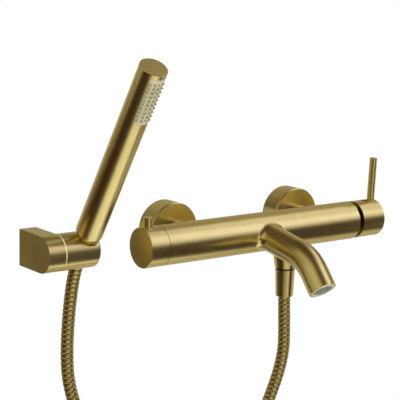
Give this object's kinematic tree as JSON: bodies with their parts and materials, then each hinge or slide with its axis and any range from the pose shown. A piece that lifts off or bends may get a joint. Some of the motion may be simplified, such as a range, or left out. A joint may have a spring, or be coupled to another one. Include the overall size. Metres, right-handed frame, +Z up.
{
  "type": "bath mixer tap",
  "caption": "Wall mounted bath mixer with side lever, diverter knob, bent spout, ribbed hose and slim hand shower on a swivel wall bracket, brushed brass finish.",
  "frame": {"origin": "in the wall plane, midway between the axes of the two inlet stubs", "axes": "+X along the mixer body towards the lever, +Y into the wall, so the front faces -Y, +Z up"},
  "size_m": [0.3704, 0.1853, 0.5029],
  "materials": {
    "brushed_gold": "brushed, satin sheen",
    "hose_gold": "fine ribs, metallic",
    "plain_brass": "as machined",
    "steel": "bright",
    "dark_ring": "matt",
    "valve_plastic": "moulded",
    "valve_ceramic": "lapped",
    "seal_rubber": "soft",
    "gasket_fibre": "matt",
    "spray_cream": "satin",
    "nozzle_silicone": "soft matt",
    "grid_plastic": "matt",
    "trim_silver": "satin",
    "tie_rubber": "soft matt"
  },
  "bodies": {
    "mixer": {"mixer_body": "brushed_gold", "wall_flange_left": "brushed_gold", "wall_flange_right": "brushed_gold", "hose_nut_mixer": "brushed_gold", "wall_block": "brushed_gold", "hose_leg_bracket": "hose_gold", "hose_leg_mixer": "hose_gold", "hose_coil": "hose_gold", "s_union_left": "plain_brass", "s_union_right": "plain_brass", "union_nuts": "plain_brass", "cartridge_nut": "plain_brass", "diverter_nut": "plain_brass", "hose_nipple": "plain_brass", "hose_ferrule_mixer": "plain_brass", "bracket_plate": "steel", "wave_washer": "steel", "block_grub_screw": "steel", "neck_ring": "dark_ring", "cartridge_housing": "valve_plastic", "diverter_housing": "valve_plastic", "water_core": "valve_plastic", "fixed_disc": "valve_ceramic", "diverter_fixed_disc": "valve_ceramic", "aerator_seal": "seal_rubber", "core_seals": "seal_rubber", "hose_washer_mixer": "seal_rubber", "union_gaskets": "gasket_fibre", "aerator_grid": "grid_plastic", "aerator_ring": "trim_silver", "swivel_ring": "trim_silver", "hose_tie": "tie_rubber"},
    "rotor": {"cartridge_rotor": "valve_plastic", "stem_pin": "steel"},
    "handle": {"handle_cap": "brushed_gold", "handle_screw": "steel", "handle_lever": "brushed_gold", "lever_stem": "steel"},
    "valve_disc": {"moving_disc": "valve_ceramic", "disc_carrier": "valve_plastic"},
    "diverter": {"diverter_knob": "brushed_gold", "diverter_pin": "brushed_gold", "diverter_grub_screw": "steel", "diverter_spindle": "plain_brass", "diverter_disc": "valve_ceramic"},
    "swivel": {"swivel_holder": "brushed_gold", "pivot_stud": "steel", "pivot_nut": "steel"},
    "hose_end": {"hose_nut_handset": "brushed_gold", "hose_washer_handset": "seal_rubber", "hose_ferrule_handset": "plain_brass", "hose_tail": "hose_gold"},
    "handset": {"handset_shell": "brushed_gold", "spray_plate": "spray_cream", "spray_nozzles": "nozzle_silicone", "handset_base": "plain_brass", "handset_waterway": "valve_plastic"}
  },
  "joints": [
    {"name": "lever_temperature", "type": "hinge", "parent": "mixer", "child": "rotor", "pos_m": [0, -0.065, 0.01], "axis": [1, 0, 0], "range_deg": [-45, 45]},
    {"name": "lever_flow", "type": "hinge", "parent": "rotor", "child": "handle", "pos_m": [0.098, -0.065, 0.01], "axis": [0, 1, 0], "range_deg": [0, 10]},
    {"name": "valve_disc_slide", "type": "slide", "parent": "rotor", "child": "valve_disc", "axis": [0, 0, 1], "range_m": [0, 0.0033]},
    {"name": "diverter_turn", "type": "hinge", "parent": "mixer", "child": "diverter", "pos_m": [0, -0.065, 0.01], "axis": [1, 0, 0], "range_deg": [0, 90]},
    {"name": "bracket_swivel", "type": "hinge", "parent": "mixer", "child": "swivel", "pos_m": [-0.1872, -0.0364, 0.0084], "axis": [1, 0, 0], "range_deg": [-32, 15]},
    {"name": "handset_lift", "type": "slide", "parent": "swivel", "child": "hose_end", "axis": [0, -0.527, 0.8499], "range_m": [0, 0.06]},
    {"name": "handset_turn", "type": "hinge", "parent": "hose_end", "child": "handset", "pos_m": [-0.1872, -0.0364, 0.0084], "axis": [0, -0.527, 0.8499], "continuous": true}
  ],
  "couplings": [
    {"joint": "valve_disc_slide", "follows": "lever_flow", "m_per_rad": 0.0183}
  ]
}
